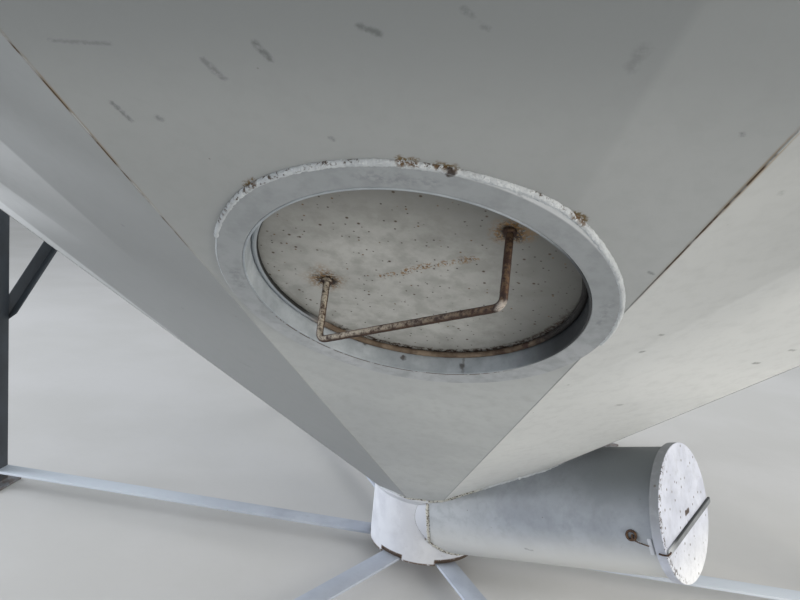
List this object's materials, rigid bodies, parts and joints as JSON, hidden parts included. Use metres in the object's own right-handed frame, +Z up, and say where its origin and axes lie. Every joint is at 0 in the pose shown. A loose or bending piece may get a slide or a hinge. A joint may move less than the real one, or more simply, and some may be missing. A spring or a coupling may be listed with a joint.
{
  "type": "grain silo hopper base",
  "caption": "Conical welded hopper base of a grain silo on six upright legs with ground ties and knee braces, with a manhole, an outlet collar and a capped discharge tube.",
  "frame": {"origin": "on the cone's axis at ground level", "axes": "+Z up along the cone's axis, -Y towards the manhole, the ground is Z = 0"},
  "size_m": [3.9336, 3.9336, 1.922],
  "materials": {
    "cone_paint": "weathered light grey enamel, satin",
    "band_paint": "weathered light grey enamel, satin",
    "frame_paint": "blue-grey enamel, satin",
    "manhole_paint": "light grey enamel over a welded edge",
    "lid_paint": "grey enamel speckled with rust",
    "rusty_rod": "bare steel rod, rusted",
    "outlet_paint": "pale cool grey enamel",
    "tube_paint": "cool grey enamel",
    "cap_paint": "pale grey enamel, chipped at its edge",
    "strap_paint": "grey enamel, worn"
  },
  "bodies": {
    "hopper": {"cone_plate_000": "cone_paint", "cone_plate_030": "cone_paint", "cone_plate_060": "cone_paint", "cone_plate_090": "cone_paint", "cone_plate_120": "cone_paint", "cone_plate_150": "cone_paint", "cone_plate_180": "cone_paint", "cone_plate_210": "cone_paint", "cone_plate_240": "cone_paint", "cone_plate_270": "cone_paint", "cone_plate_300": "cone_paint", "cone_plate_330": "cone_paint", "wall_band_1": "band_paint", "wall_band_2": "band_paint", "wall_band_3": "band_paint", "wall_band_4": "band_paint", "wall_band_5": "band_paint", "wall_band_6": "band_paint", "leg_1": "frame_paint", "leg_2": "frame_paint", "leg_3": "frame_paint", "leg_4": "frame_paint", "leg_5": "frame_paint", "leg_6": "frame_paint", "ground_tie_1": "frame_paint", "ground_tie_2": "frame_paint", "ground_tie_3": "frame_paint", "ground_tie_4": "frame_paint", "ground_tie_5": "frame_paint", "ground_tie_6": "frame_paint", "brace_1": "frame_paint", "brace_2": "frame_paint", "brace_3": "frame_paint", "brace_4": "frame_paint", "brace_5": "frame_paint", "manhole_ring": "manhole_paint", "manhole_neck": "manhole_paint", "manhole_seat": "rusty_rod", "outlet_collar": "outlet_paint", "outlet_floor": "outlet_paint", "discharge_tube": "tube_paint"},
    "lid": {"manhole_lid": "lid_paint", "lid_handle": "rusty_rod"},
    "cap": {"tube_cap": "cap_paint", "cap_strap": "strap_paint"}
  },
  "joints": [
    {"name": "lid_lift", "type": "slide", "parent": "hopper", "child": "lid", "axis": [0, 0.6235, 0.7818], "range_m": [0, 0.15]},
    {"name": "cap_pull", "type": "slide", "parent": "hopper", "child": "cap", "axis": [0.806, -0.5017, 0.314], "range_m": [0, 0.15]}
  ]
}
